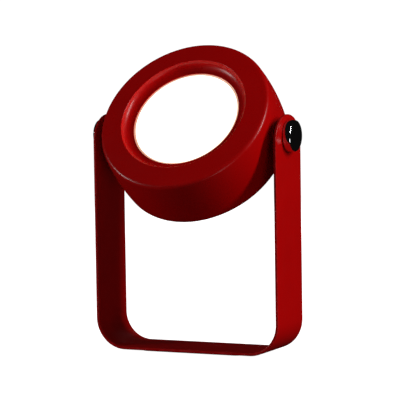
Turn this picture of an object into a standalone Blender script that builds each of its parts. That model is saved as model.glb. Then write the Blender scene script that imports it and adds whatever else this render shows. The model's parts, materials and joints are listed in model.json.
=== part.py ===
"""Small tilting darkroom safelight: a round lamp head hung between the arms of a bent strap bracket.

Metres, +Z up. The origin is the centre of the resting face. The arms stand at -X and +X, and the
lens looks towards -Y and upwards. Head parts are placed in the frame of the empty head_pivot: its
origin is on the tilt axis, its X runs along that axis, and its Z runs forwards through the lens.
"""

import bmesh
import bpy
import math
from mathutils import Matrix, Vector

MM = 0.001
GAP = 0.3 * MM  # between pieces that touch
MARGIN = 2 * MM  # how far a cutter runs past what it cuts

# Bracket: one strap of sheet, bent twice into a U.
BRACKET_WIDTH = 110 * MM  # over the outsides of the arms
STRAP_WIDTH = 33.2 * MM
STRAP_THICKNESS = 1.6 * MM
BEND_RADIUS = 17.2 * MM  # outside of each bend
BEND_STEPS = 12
ARM_END_RISE = 11.6 * MM  # top of the arm above the tilt axis
ARM_END_ARCH = 14.8 * MM  # height of the arched end, sides to top
PAD_SIZE = (62 * MM, 24 * MM, 0.6 * MM)
PAD_CORNER = 5 * MM
BRACKET_BASE = PAD_SIZE[2] + GAP

# Tilt axis.
PIVOT_HEIGHT = BRACKET_BASE + 117.7 * MM
REST_TILT = math.radians(38.9)  # lens above the horizontal
ARM_OUTSIDE = BRACKET_WIDTH / 2

# Drum: barrelled side, broad front ring, hollow-curved recess down to the lens.
DRUM_RADIUS = 49.5 * MM  # at its fullest
DRUM_FULLEST = 2 * MM  # how far in front of the tilt axis that is
BARREL_RADIUS = 125 * MM  # curvature of the side along the axis
WALL = 2 * MM
FRONT_WALL = 2.4 * MM
FRONT_EDGE = 19.2 * MM
FRONT_EDGE_ROUND = 2.2 * MM
LIP_RADIUS = 35.8 * MM
LIP_FRONT = 20.3 * MM
LIP_SOFTENING = (0.1 * MM, 0.5 * MM)  # drop and width
LENS_OPENING = 30.4 * MM
LENS_EDGE = 15.7 * MM
SEAT = 15.1 * MM  # back of the recess, where the diffuser bears
COLLAR = (38.6 * MM, 40.6 * MM)  # bore and outside of the threaded collar
COLLAR_BACK = 8 * MM
DRUM_BACK = -14 * MM
BACK_EDGE_ROUND = 1.2 * MM
SEAL_LEDGE = (44.8 * MM, -11.6 * MM, -10.2 * MM)  # bore, back and front
SEAL_INSET = 0.2 * MM
PIVOT_BOSS_RADIUS = 8.8 * MM
PIVOT_BOSS = (48 * MM, 50.3 * MM)  # where it starts inside the wall, and its face
PIVOT_HOLE_INNER = 40 * MM

# Rear cover: shallow dome with a flat back.
COVER_RADIUS = 46 * MM
COVER_SPIGOT_FRONT = -13 * MM
COVER_RIM = -13.6 * MM
COVER_FLAT_RADIUS = 34 * MM
COVER_BACK = -19.5 * MM
COVER_BUTTON_HOLE = 7.4 * MM
COVER_SCREW_CIRCLE = 38 * MM
SCREW_ANGLES = [math.radians(45 + 90 * i) for i in range(4)]
POST_RADIUS = 3.2 * MM
PILOT_RADIUS = 1.5 * MM
SCREW_SHANK = 1.2 * MM
SCREW_HEAD = 2.7 * MM
SCREW_HEAD_HEIGHT = 1.3 * MM
SCREW_HEAD_SIDE = 0.7 * MM
SCREW_POINT = 0.8 * MM
COUNTERBORE = 3 * MM
COUNTERBORE_FLOOR = -16.9 * MM
CASING_POST = (-10.5 * MM, -2 * MM)
PILOT_END = 1.5 * MM  # solid left beyond a pilot hole
SCREW_END = 2.2 * MM  # solid left beyond a screw's tip
POST_WEB = (8.6 * MM, 2.4 * MM)  # length and thickness
COVER_POST = (-18 * MM, -12.7 * MM)
COVER_POST_RADIUS = POST_RADIUS + 0.6 * MM

# Light engine, from the lens backwards. Each pair is back and front.
DIFFUSER_RIM = (12.8 * MM, 14.8 * MM)
DIFFUSER_FACE = 15.4 * MM
DIFFUSER_RADIUS = 35 * MM
GASKET = (11.9 * MM, 12.5 * MM)
GASKET_BORE = 32 * MM
REFLECTOR_RIM = (10.4 * MM, 11.6 * MM)
REFLECTOR_BASE = 5.3 * MM
REFLECTOR_RADII = (20 * MM, 30.4 * MM)  # inside, at the base and at the lens
REFLECTOR_WALL = 1.4 * MM
REFLECTOR_RADIUS = 37 * MM
REFLECTOR_BOSS = (2.8 * MM, 2.2 * MM)  # radius and height
REFLECTOR_PILOT_DEPTH = 1.4 * MM
RETAINER_BORE = 33.6 * MM
ENGINE_SCREW_CIRCLE = 27 * MM
ENGINE_SCREW_ANGLES = [math.radians(90 + 120 * i) for i in range(3)]
LED_BOARD = (3.4 * MM, 5 * MM)
LED_BOARD_RADIUS = 30.5 * MM
LED_SIZE = (3.5 * MM, 3.5 * MM, 0.8 * MM)
LED_BEVEL = 0.25 * MM
LED_CIRCLE = 11 * MM
LED_COUNT_ON_CIRCLE = 6
HEAT_SINK = (-2.2 * MM, 3.1 * MM)
HEAT_SINK_RADIUS = 31 * MM
FIN_GROOVES = 6
FIN_PITCH = 7 * MM
FIN_GROOVE_WIDTH = 2.2 * MM
FIN_GROOVE_DEPTH = 2.8 * MM
ENGINE_SCREW_HEAD = 1.9 * MM
ENGINE_COUNTERBORE = (2.3 * MM, 1.9 * MM)  # radius and depth
ENGINE_SCREW_TIP = REFLECTOR_BASE + 1.1 * MM

# Power: a flat cell in a tray, and the driver board behind it.
CELL_SIZE = (50 * MM, 34 * MM, 5.8 * MM)
CELL_BACK = -8.5 * MM
CELL_BEVEL = 0.8 * MM
GUARD_SIZE = (24 * MM, 0.8 * MM)  # the cell's protection board
GUARD_SETBACK = 0.4 * MM
TRAY_SIZE = (56 * MM, 40 * MM)
TRAY = (-9.8 * MM, -6.5 * MM)
TRAY_FLOOR = 1 * MM
DRIVER_BOARD = (-12.4 * MM, -10.8 * MM)
DRIVER_BOARD_RADIUS = 43 * MM
USB_SIZE = (8.9 * MM, 3.2 * MM)
USB_BACK = -19.2 * MM
USB_WALL = 0.4 * MM
USB_ROUND = 1.1 * MM
USB_MOUTH_DEPTH = 5 * MM
USB_MOUTH_ROUND = 0.8 * MM
USB_SLOT_DEPTH = 3 * MM
USB_SLOT_ROUND = 1.2 * MM
USB_CENTRE = (0, -26 * MM)
LIGHT_PIPE_CENTRE = (0, -32 * MM)
LIGHT_PIPE_RADIUS = 1.25 * MM
LIGHT_PIPE_BACK = COVER_BACK - 0.2 * MM
LIGHT_PIPE_HOLE_END = -16 * MM
LEAD_RADIUS = 0.6 * MM
LEAD_SPACING = 6 * MM
CELL_LEAD_HEIGHT = -4.6 * MM
CELL_LEAD_BENDS = [(23 * MM, -4.9 * MM), (27 * MM, -7.4 * MM)]
CELL_LEAD_END = 27.6 * MM
LED_LEAD_INSET = 1.6 * MM
LED_LEAD_BENDS = [(1.4 * MM, 5 * MM), (2.6 * MM, 1.5 * MM), (2.6 * MM, -6 * MM)]  # out from the board

# Power button, in the middle of the back.
BUTTON_RADIUS = 7 * MM
BUTTON_BACK = -20.3 * MM
BUTTON_FLANGE = (-17.2 * MM, -16.4 * MM)
BUTTON_FLANGE_RADIUS = 8.8 * MM
BUTTON_ROUND = 0.8 * MM
BUTTON_DISH = (3 * MM, 0.3 * MM)  # radius of its floor, and depth
SWITCH = (-14.7 * MM, -12.7 * MM)
SWITCH_SIDE = 6.2 * MM
PLUNGER = (-16.1 * MM, -14.4 * MM)
PLUNGER_RADIUS = 1.5 * MM

# Pivot fittings, along the tilt axis outwards. Each pair is inner and outer end.
STUD_RADIUS = 2.5 * MM
STUD_BORE = 2.8 * MM
STUD = (41.2 * MM, 58.2 * MM)
NUT = (42.4 * MM, 46.4 * MM)
NUT_CORNER_RADIUS = 4.6 * MM
FRICTION_WASHER = (50.6 * MM, 51.6 * MM)
WASHER_RADIUS = 8 * MM
BUSH_FLANGE = (51.9 * MM, 53.1 * MM)
BUSH_END = 54.8 * MM
BUSH_RADIUS = 4 * MM
ARM_HOLE = 4.3 * MM
THRUST_WASHER = (55.3 * MM, 56.1 * MM)
THRUST_WASHER_RADIUS = 7.4 * MM
CAP_RADIUS = 8.7 * MM
CAP_SHOULDER_RADIUS = 8.4 * MM
CAP = (55.3 * MM, 60.8 * MM)
CAP_SHOULDER = 59.1 * MM
CAP_RECESS = (7.7 * MM, 56.4 * MM)  # radius and floor of the pocket for the washer
CAP_BORE_END = 58.5 * MM
CAP_SOFTENING = (0.3 * MM, 0.4 * MM)  # radius lost and height, at the rim

# Facets round a turned piece.
FINE = 56
MEDIUM = 36
COARSE = 24

PART_NAME = "darkroom_safelight"
FORWARD = (0, 0, 0)
TO_RIGHT = (0, math.pi / 2, 0)
TO_LEFT = (0, -math.pi / 2, 0)
SIDES = (("right", TO_RIGHT), ("left", TO_LEFT))


# ---------------------------------------------------------------- scene and materials


def clear_scene():
    for obj in list(bpy.data.objects):
        bpy.data.objects.remove(obj, do_unlink=True)


def new_collection(name):
    collection = bpy.data.collections.new(name)
    bpy.context.scene.collection.children.link(collection)
    return collection


def new_material(name, colour, roughness, metallic=0.0):
    material = bpy.data.materials.new(name)
    material.use_nodes = True
    shader = material.node_tree.nodes["Principled BSDF"]
    shader.inputs["Base Color"].default_value = (*colour, 1)
    shader.inputs["Roughness"].default_value = roughness
    shader.inputs["Metallic"].default_value = metallic
    return material


# ---------------------------------------------------------------- shape helpers


def place(obj, collection, parent=None, turn=FORWARD, location=(0, 0, 0)):
    collection.objects.link(obj)
    obj.parent = parent
    obj.rotation_euler = turn
    obj.location = location
    return obj


def finish(obj, material):
    obj.data.materials.append(material)
    return obj


def as_cutter(obj):
    obj.hide_render = True
    obj.display_type = "WIRE"
    return obj


def boolean(obj, other, operation="DIFFERENCE"):
    modifier = obj.modifiers.new(other.name, "BOOLEAN")
    modifier.operation = operation
    modifier.solver = "EXACT"
    modifier.object = other


def turned(name, profile, steps, turn=FORWARD):
    """A solid of revolution. The profile is (radius, height) pairs that run down its outer side."""
    on_axis = profile[0][0] == 0 and profile[-1][0] == 0
    count = len(profile)
    edges = [(i, i + 1) for i in range(count - 1)]
    if not on_axis:
        edges.append((count - 1, 0))
    mesh = bpy.data.meshes.new(name)
    mesh.from_pydata([(r, 0, z) for r, z in profile], edges, [])
    obj = place(bpy.data.objects.new(name, mesh), PARTS, HEAD, turn)
    screw = obj.modifiers.new("turn", "SCREW")
    screw.steps = steps
    screw.render_steps = steps
    screw.use_merge_vertices = True
    screw.merge_threshold = 0.00001
    screw.use_smooth_shade = True
    return obj


def from_bmesh(name, build, collection, parent=None, turn=FORWARD):
    """An object whose mesh is filled by build(bm)."""
    bm = bmesh.new()
    build(bm)
    mesh = bpy.data.meshes.new(name)
    bm.to_mesh(mesh)
    bm.free()
    return place(bpy.data.objects.new(name, mesh), collection, parent, turn)


def add_rod(bm, radius, back, front, centre=(0, 0), segments=24):
    """A cylinder along Z."""
    middle = Vector((*centre, (back + front) / 2))
    bmesh.ops.create_cone(
        bm, cap_ends=True, segments=segments, radius1=radius, radius2=radius,
        depth=front - back, matrix=Matrix.Translation(middle),
    )


def add_box(bm, size, centre, angle=0.0):
    """A box turned by angle about Z through the origin, after it is placed at centre."""
    matrix = Matrix.Rotation(angle, 4, "Z") @ Matrix.Translation(Vector(centre)) @ Matrix.Diagonal((*size, 1))
    bmesh.ops.create_cube(bm, size=1, matrix=matrix)


def rods(name, radius, back, front, centres, segments=16):
    """One helper of several rods, in the frame of the head."""

    def build(bm):
        for centre in centres:
            add_rod(bm, radius, back, front, centre, segments)

    return as_cutter(from_bmesh(name, build, CUTTERS, HEAD))


def slab(name, size, back, front, centre=(0, 0), bevel=0.0):
    """A plain block in the frame of the head, with its edges softened."""
    box = (size[0], size[1], front - back)
    obj = from_bmesh(name, lambda bm: add_box(bm, box, (*centre, (back + front) / 2)), PARTS, HEAD)
    if bevel:
        soften(obj, bevel)
    return obj


def soften(obj, width, segments=1):
    modifier = obj.modifiers.new("soft edges", "BEVEL")
    modifier.width = width
    modifier.segments = segments
    modifier.limit_method = "ANGLE"


def on_circle(radius, angles):
    return [(radius * math.cos(a), radius * math.sin(a)) for a in angles]


def ring(inner, outer, back, front):
    """Profile of a flat ring."""
    return [(inner, front), (outer, front), (outer, back), (inner, back)]


def disc(radius, back, front):
    """Profile of a plain disc."""
    return [(0, front), (radius, front), (radius, back), (0, back)]


def arc(centre, radii, start, end, steps):
    """Points on an ellipse, from start to end in degrees, in (radius, height)."""
    angles = [math.radians(start + (end - start) * i / steps) for i in range(steps + 1)]
    return [(centre[0] + radii[0] * math.cos(a), centre[1] + radii[1] * math.sin(a)) for a in angles]


def curve_outline(name, points, thickness):
    """A closed flat outline given half of its thickness each way."""
    curve = bpy.data.curves.new(name, "CURVE")
    curve.dimensions = "2D"
    curve.fill_mode = "BOTH"
    curve.extrude = thickness / 2
    spline = curve.splines.new("POLY")
    spline.points.add(len(points) - 1)
    for target, (x, y) in zip(spline.points, points):
        target.co = (x, y, 0, 1)
    spline.use_cyclic_u = True
    return bpy.data.objects.new(name, curve)


def curve_to_mesh(curve_object, collection):
    """A mesh object in the curve's place, with its caps welded."""
    bpy.context.view_layer.update()
    graph = bpy.context.evaluated_depsgraph_get()
    mesh = bpy.data.meshes.new_from_object(curve_object.evaluated_get(graph))
    bm = bmesh.new()
    bm.from_mesh(mesh)
    bmesh.ops.remove_doubles(bm, verts=bm.verts, dist=0.00001)
    bmesh.ops.recalc_face_normals(bm, faces=bm.faces)
    bm.to_mesh(mesh)
    bm.free()
    name = curve_object.name
    matrix = curve_object.matrix_world.copy()
    bpy.data.objects.remove(curve_object, do_unlink=True)
    obj = bpy.data.objects.new(name, mesh)
    obj.matrix_world = matrix
    collection.objects.link(obj)
    return obj


# ---------------------------------------------------------------- bracket


def strap_path():
    """The outside of the strap in the XZ plane, from the top of the left arm round to the right."""
    top = PIVOT_HEIGHT + ARM_END_RISE + STRAP_THICKNESS
    bend_x = ARM_OUTSIDE - BEND_RADIUS
    bend_z = BRACKET_BASE + BEND_RADIUS
    radii = (BEND_RADIUS, BEND_RADIUS)
    left = arc((-bend_x, bend_z), radii, 180, 270, BEND_STEPS)
    right = arc((bend_x, bend_z), radii, 270, 360, BEND_STEPS)
    return [(-ARM_OUTSIDE, top), *left, *right, (ARM_OUTSIDE, top)]


def arm_end_outline():
    """The strap seen along X: straight edges, and an arched end over the tilt axis."""
    below = BRACKET_BASE - STRAP_THICKNESS
    half = STRAP_WIDTH / 2
    arch = arc((0, PIVOT_HEIGHT + ARM_END_RISE - ARM_END_ARCH), (half, ARM_END_ARCH), 0, 180, 20)
    return [(-half, below), (half, below), *arch]


def make_bracket():
    path = strap_path()
    spare_width = STRAP_WIDTH + 2 * MARGIN

    def build(bm):
        chain = [bm.verts.new((x, -spare_width / 2, z)) for x, z in path]
        edges = [bm.edges.new(pair) for pair in zip(chain, chain[1:])]
        swept = bmesh.ops.extrude_edge_only(bm, edges=edges)["geom"]
        moved = [item for item in swept if isinstance(item, bmesh.types.BMVert)]
        bmesh.ops.translate(bm, verts=moved, vec=(0, spare_width, 0))
        bmesh.ops.recalc_face_normals(bm, faces=bm.faces)
        down = next(f for f in bm.faces if abs(f.normal.z) > 0.99)
        if down.normal.z > 0:
            bmesh.ops.reverse_faces(bm, faces=bm.faces)

    bracket = from_bmesh("bracket", build, PARTS)
    sheet = bracket.modifiers.new("sheet", "SOLIDIFY")
    sheet.thickness = STRAP_THICKNESS
    sheet.offset = -1
    sheet.use_even_offset = True
    outline = curve_outline("strap_outline", arm_end_outline(), BRACKET_WIDTH + 4 * MARGIN)
    place(outline, CUTTERS, turn=(math.pi / 2, 0, math.pi / 2))
    boolean(bracket, as_cutter(curve_to_mesh(outline, CUTTERS)), "INTERSECT")
    reach = ARM_OUTSIDE + MARGIN
    hole = from_bmesh(
        "arm_holes", lambda bm: add_rod(bm, ARM_HOLE, -reach, reach, segments=32), CUTTERS, HEAD, TO_RIGHT
    )
    boolean(bracket, as_cutter(hole))
    finish(bracket, RED_METAL)


def make_base_pad():
    width, depth, thickness = PAD_SIZE
    x = width / 2 - PAD_CORNER
    y = depth / 2 - PAD_CORNER
    radii = (PAD_CORNER, PAD_CORNER)
    corners = [((x, y), 0), ((-x, y), 90), ((-x, -y), 180), ((x, -y), 270)]
    points = [p for centre, start in corners for p in arc(centre, radii, start, start + 90, 6)]
    pad = curve_outline("base_pad", points, thickness)
    place(pad, PARTS, location=(0, 0, thickness / 2))
    finish(curve_to_mesh(pad, PARTS), RUBBER)


# ---------------------------------------------------------------- casing and cover


def drum_radius(height):
    """Radius of the barrelled side, so far in front of the tilt axis."""
    return DRUM_RADIUS - (height - DRUM_FULLEST) ** 2 / (2 * BARREL_RADIUS)


def casing_profile():
    side_top = FRONT_EDGE - FRONT_EDGE_ROUND
    side_bottom = DRUM_BACK + BACK_EDGE_ROUND
    side = [side_top + (side_bottom - side_top) * i / 5 for i in range(6)]
    edge_centre = (drum_radius(side_top) - FRONT_EDGE_ROUND, side_top)
    front_edge = arc(edge_centre, (FRONT_EDGE_ROUND, FRONT_EDGE_ROUND), 82, 0, 3)
    back_centre = (drum_radius(side_bottom) - BACK_EDGE_ROUND, side_bottom)
    back_edge = arc(back_centre, (BACK_EDGE_ROUND, BACK_EDGE_ROUND), 0, -90, 3)
    cove = (LIP_RADIUS - LENS_OPENING, LIP_FRONT - LENS_EDGE)
    recess = arc((LENS_OPENING, LIP_FRONT), cove, -90, -8, 6)
    drop, width = LIP_SOFTENING
    lip = [(LIP_RADIUS + drop, LIP_FRONT - drop), (LIP_RADIUS + width, LIP_FRONT)]
    ledge_bore, ledge_back, ledge_front = SEAL_LEDGE
    inside_back = COVER_RADIUS + GAP
    inside_front = FRONT_EDGE - FRONT_WALL
    corner_back = inside_front - WALL
    inner_side = [ledge_front + (corner_back - ledge_front) * i / 3 for i in range(1, 4)]
    inside = [
        (inside_back, DRUM_BACK),
        (inside_back, ledge_back),
        (ledge_bore, ledge_back),
        (ledge_bore, ledge_front),
        *[(drum_radius(z) - WALL, z) for z in inner_side],
        (drum_radius(corner_back) - 2 * WALL, inside_front),
        (COLLAR[1], inside_front),
        (COLLAR[1], COLLAR_BACK),
        (COLLAR[0], COLLAR_BACK),
        (COLLAR[0], SEAT),
        (LENS_OPENING, SEAT),
    ]
    return [*recess, *lip, *front_edge, *[(drum_radius(z), z) for z in side[1:-1]], *back_edge, *inside]


def pivot_rod(name, radius, inner, outer, segments=32):
    """One helper with a rod along the tilt axis at each side."""

    def build(bm):
        add_rod(bm, radius, inner, outer, segments=segments)
        add_rod(bm, radius, -outer, -inner, segments=segments)

    return as_cutter(from_bmesh(name, build, CUTTERS, HEAD, TO_RIGHT))


def make_front_casing():
    casing = turned("front_casing", casing_profile(), FINE)
    boolean(casing, pivot_rod("casing_bosses", PIVOT_BOSS_RADIUS, *PIVOT_BOSS), "UNION")
    centres = on_circle(COVER_SCREW_CIRCLE, SCREW_ANGLES)
    boolean(casing, rods("casing_posts", POST_RADIUS, *CASING_POST, centres), "UNION")

    def build_webs(bm):
        back, front = CASING_POST
        for angle in SCREW_ANGLES:
            length, thickness = POST_WEB
            size = (length, thickness, front - back - MARGIN)
            middle = COVER_SCREW_CIRCLE + MARGIN + length / 2
            add_box(bm, size, (middle, 0, (back + front) / 2), angle)

    webs = as_cutter(from_bmesh("casing_webs", build_webs, CUTTERS, HEAD))
    boolean(casing, webs, "UNION")
    pilot_front = CASING_POST[1] - PILOT_END
    boolean(casing, rods("casing_pilots", PILOT_RADIUS, CASING_POST[0] - MM, pilot_front, centres))
    boolean(casing, pivot_rod("casing_pivot_holes", STUD_BORE, PIVOT_HOLE_INNER, PIVOT_BOSS[1] + MM, 24))
    finish(casing, RED_CASING)


def cover_profile():
    radii = (COVER_RADIUS - COVER_FLAT_RADIUS, COVER_RIM - COVER_BACK)
    centre = (COVER_FLAT_RADIUS, COVER_RIM)
    dome = arc(centre, radii, 0, -90, 7)
    inner_dome = arc(centre, (radii[0] - WALL, radii[1] - WALL), -90, 0, 5)
    return [
        (COVER_RADIUS - WALL, COVER_SPIGOT_FRONT),
        (COVER_RADIUS, COVER_SPIGOT_FRONT),
        *dome,
        (COVER_BUTTON_HOLE, COVER_BACK),
        (COVER_BUTTON_HOLE, COVER_BACK + WALL),
        *inner_dome,
    ]


def make_rear_cover():
    cover = turned("rear_cover", cover_profile(), FINE)
    centres = on_circle(COVER_SCREW_CIRCLE, SCREW_ANGLES)
    boolean(cover, rods("cover_posts", COVER_POST_RADIUS, *COVER_POST, centres, 20), "UNION")
    below = COVER_BACK - MM
    boolean(cover, rods("cover_counterbores", COUNTERBORE, below, COUNTERBORE_FLOOR, centres, 20))
    boolean(cover, rods("cover_screw_holes", PILOT_RADIUS, below, COVER_POST[1] + MM, centres))
    pipe_hole = LIGHT_PIPE_RADIUS + GAP
    boolean(cover, rods("light_pipe_hole", pipe_hole, below, LIGHT_PIPE_HOLE_END, [LIGHT_PIPE_CENTRE]))

    def build_slot(bm):
        size = (USB_SIZE[0] + 2 * GAP, USB_SIZE[1] + 2 * GAP, 2 * USB_SLOT_DEPTH)
        add_box(bm, size, (*USB_CENTRE, COVER_BACK))

    slot = as_cutter(from_bmesh("usb_slot", build_slot, CUTTERS, HEAD))
    soften_upright(slot, USB_SLOT_ROUND)
    boolean(cover, slot)
    finish(cover, RED_CASING)


def soften_upright(obj, width):
    """Rounds the edges that run along Z."""
    bm = bmesh.new()
    bm.from_mesh(obj.data)
    upright = [e for e in bm.edges if abs((e.verts[0].co - e.verts[1].co).normalized().z) > 0.99]
    bmesh.ops.bevel(bm, geom=upright, offset=width, segments=3, profile=0.5, affect="EDGES")
    bm.to_mesh(obj.data)
    bm.free()


def make_cover_seal():
    back = COVER_SPIGOT_FRONT + GAP
    front = SEAL_LEDGE[1] - GAP
    seal = turned("cover_seal", ring(SEAL_LEDGE[0] + SEAL_INSET, COVER_RADIUS, back, front), FINE)
    finish(seal, RUBBER)


# ---------------------------------------------------------------- light engine


def make_diffuser():
    back, shoulder = DIFFUSER_RIM
    face = LENS_OPENING - GAP
    profile = [(0, DIFFUSER_FACE), (face, DIFFUSER_FACE), (face, shoulder)]
    profile += [(DIFFUSER_RADIUS, shoulder), (DIFFUSER_RADIUS, back), (0, back)]
    finish(turned("diffuser", profile, FINE), OPAL)
    gasket = turned("diffuser_gasket", ring(GASKET_BORE, DIFFUSER_RADIUS, *GASKET), MEDIUM)
    finish(gasket, RUBBER)


def make_reflector():
    base_in, lens_in = REFLECTOR_RADII
    rim_back, rim_front = REFLECTOR_RIM
    profile = [
        (lens_in, rim_front),
        (REFLECTOR_RADIUS, rim_front),
        (REFLECTOR_RADIUS, rim_back),
        (lens_in + REFLECTOR_WALL, rim_back),
        (base_in + REFLECTOR_WALL, REFLECTOR_BASE),
        (base_in, REFLECTOR_BASE),
    ]
    reflector = turned("reflector", profile, MEDIUM)
    centres = on_circle(ENGINE_SCREW_CIRCLE, ENGINE_SCREW_ANGLES)
    boss_radius, boss_height = REFLECTOR_BOSS
    boss_front = REFLECTOR_BASE + boss_height
    boolean(reflector, rods("reflector_bosses", boss_radius, REFLECTOR_BASE, boss_front, centres), "UNION")
    pilot_front = REFLECTOR_BASE + REFLECTOR_PILOT_DEPTH
    boolean(reflector, rods("reflector_pilots", PILOT_RADIUS, 0, pilot_front, centres))
    finish(reflector, WHITE_PLASTIC)
    collar_bore = COLLAR[0] - GAP
    retainer = turned("retaining_ring", ring(RETAINER_BORE, collar_bore, COLLAR_BACK, rim_back - GAP), MEDIUM)
    finish(retainer, BLACK_PLASTIC)


def make_led_board():
    board = turned("led_board", disc(LED_BOARD_RADIUS, *LED_BOARD), MEDIUM)
    sink = turned("heat_sink", disc(HEAT_SINK_RADIUS, *HEAT_SINK), MEDIUM)
    centres = on_circle(ENGINE_SCREW_CIRCLE, ENGINE_SCREW_ANGLES)
    holes = rods("engine_screw_holes", PILOT_RADIUS, HEAT_SINK[0] - MARGIN, LED_BOARD[1] + MARGIN, centres)
    boolean(board, holes)
    boolean(sink, holes)
    counterbore, depth = ENGINE_COUNTERBORE
    floor = HEAT_SINK[0] + depth
    boolean(sink, rods("engine_counterbores", counterbore, HEAT_SINK[0] - MM, floor, centres))

    def build_grooves(bm):
        for i in range(FIN_GROOVES):
            x = (i - (FIN_GROOVES - 1) / 2) * FIN_PITCH
            size = (FIN_GROOVE_WIDTH, 4 * HEAT_SINK_RADIUS, 2 * FIN_GROOVE_DEPTH)
            add_box(bm, size, (x, 0, HEAT_SINK[0]))

    boolean(sink, as_cutter(from_bmesh("fin_grooves", build_grooves, CUTTERS, HEAD)))
    finish(board, BOARD_WHITE)
    finish(sink, ALUMINIUM)
    for number, centre in enumerate(centres, 1):
        name = f"light_engine_screw_{number}"
        make_screw(name, centre, floor - GAP, ENGINE_SCREW_TIP, ENGINE_SCREW_HEAD)


def make_leds():
    back = LED_BOARD[1] + GAP
    angles = [math.tau * i / LED_COUNT_ON_CIRCLE for i in range(LED_COUNT_ON_CIRCLE)]
    for number, centre in enumerate([(0, 0), *on_circle(LED_CIRCLE, angles)], 1):
        led = slab(f"led_{number}", LED_SIZE[:2], back, back + LED_SIZE[2], centre, LED_BEVEL)
        finish(led, LED_YELLOW)


def make_screw(name, centre, head_front, tip, head_radius):
    """A pan-head screw driven forwards: its head lies behind head_front."""
    head_back = head_front - SCREW_HEAD_HEIGHT
    profile = [
        (0, tip),
        (SCREW_SHANK * 0.6, tip),
        (SCREW_SHANK, tip - SCREW_POINT),
        (SCREW_SHANK, head_front),
        (head_radius, head_front),
        (head_radius, head_front - SCREW_HEAD_SIDE),
        (head_radius * 0.75, head_back),
        (0, head_back),
    ]
    screw = turned(name, profile, 16)
    screw.location = (*centre, 0)
    finish(screw, STEEL)


def make_cover_screws():
    for number, centre in enumerate(on_circle(COVER_SCREW_CIRCLE, SCREW_ANGLES), 1):
        tip = CASING_POST[1] - SCREW_END
        make_screw(f"cover_screw_{number}", centre, COUNTERBORE_FLOOR - GAP, tip, SCREW_HEAD)


# ---------------------------------------------------------------- power


def make_battery():
    cell_front = CELL_BACK + CELL_SIZE[2]
    cell = slab("battery_cell", CELL_SIZE[:2], CELL_BACK, cell_front, bevel=CELL_BEVEL)
    finish(cell, FOIL)
    board_y = CELL_SIZE[1] / 2 + GAP + GUARD_SIZE[1] / 2
    guard = slab("battery_board", GUARD_SIZE, TRAY[1] + GAP, cell_front - GUARD_SETBACK, (0, board_y))
    finish(guard, BOARD_GREEN)
    tray = slab("battery_tray", TRAY_SIZE, *TRAY)

    def build_pocket(bm):
        size = (CELL_SIZE[0] + MM, CELL_SIZE[1] + MM, 4 * MARGIN)
        add_box(bm, size, (0, 0, TRAY[0] + TRAY_FLOOR + size[2] / 2))

    boolean(tray, as_cutter(from_bmesh("tray_pocket", build_pocket, CUTTERS, HEAD)))
    finish(tray, BLACK_PLASTIC)


def make_driver_board():
    board = turned("driver_board", disc(DRIVER_BOARD_RADIUS, *DRIVER_BOARD), MEDIUM)
    centres = on_circle(COVER_SCREW_CIRCLE, SCREW_ANGLES)
    boolean(board, rods("board_holes", PILOT_RADIUS, DRIVER_BOARD[0] - MM, DRIVER_BOARD[1] + MM, centres))
    finish(board, BOARD_GREEN)
    behind_board = DRIVER_BOARD[0] - GAP
    usb = slab("usb_socket", USB_SIZE, USB_BACK, behind_board, USB_CENTRE)
    soften_upright(usb, USB_ROUND)

    def build_mouth(bm):
        size = (USB_SIZE[0] - 2 * USB_WALL, USB_SIZE[1] - 2 * USB_WALL, 2 * USB_MOUTH_DEPTH)
        add_box(bm, size, (*USB_CENTRE, USB_BACK))

    mouth = as_cutter(from_bmesh("usb_mouth", build_mouth, CUTTERS, HEAD))
    soften_upright(mouth, USB_MOUTH_ROUND)
    boolean(usb, mouth)
    finish(usb, STEEL)
    pipe = turned("charge_light_pipe", disc(LIGHT_PIPE_RADIUS, LIGHT_PIPE_BACK, behind_board), 16)
    pipe.location = (*LIGHT_PIPE_CENTRE, 0)
    finish(pipe, CLEAR)


def make_switch_and_button():
    switch = slab("switch_body", (SWITCH_SIDE, SWITCH_SIDE), *SWITCH)
    well = rods("switch_well", PLUNGER_RADIUS + GAP, SWITCH[0] - MM, SWITCH[1] - GAP, [(0, 0)])
    boolean(switch, well)
    finish(switch, BLACK_PLASTIC)
    plunger = turned("switch_plunger", disc(PLUNGER_RADIUS, *PLUNGER), 24)
    finish(plunger, BLACK_PLASTIC)
    flange_back, flange_front = BUTTON_FLANGE
    crown_centre = (BUTTON_RADIUS - BUTTON_ROUND, BUTTON_BACK + BUTTON_ROUND)
    crown = arc(crown_centre, (BUTTON_ROUND, BUTTON_ROUND), 0, -90, 3)
    profile = [
        (0, flange_front),
        (BUTTON_FLANGE_RADIUS, flange_front),
        (BUTTON_FLANGE_RADIUS, flange_back),
        (BUTTON_RADIUS, flange_back),
        *crown,
        (BUTTON_DISH[0], BUTTON_BACK + BUTTON_DISH[1]),
        (0, BUTTON_BACK + BUTTON_DISH[1]),
    ]
    finish(turned("power_button", profile, COARSE), BUTTON_GREY)


def lead(name, points, x, material):
    """A round wire through smooth points in the plane X = x, given as (y, z)."""
    curve = bpy.data.curves.new(name, "CURVE")
    curve.dimensions = "3D"
    curve.bevel_depth = LEAD_RADIUS
    curve.bevel_resolution = 1
    curve.use_fill_caps = True
    path = smooth_path([Vector((x, y, z)) for y, z in points], 4)
    spline = curve.splines.new("POLY")
    spline.points.add(len(path) - 1)
    for target, point in zip(spline.points, path):
        target.co = (*point, 1)
    obj = place(bpy.data.objects.new(name, curve), PARTS, HEAD)
    finish(obj, material)


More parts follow.
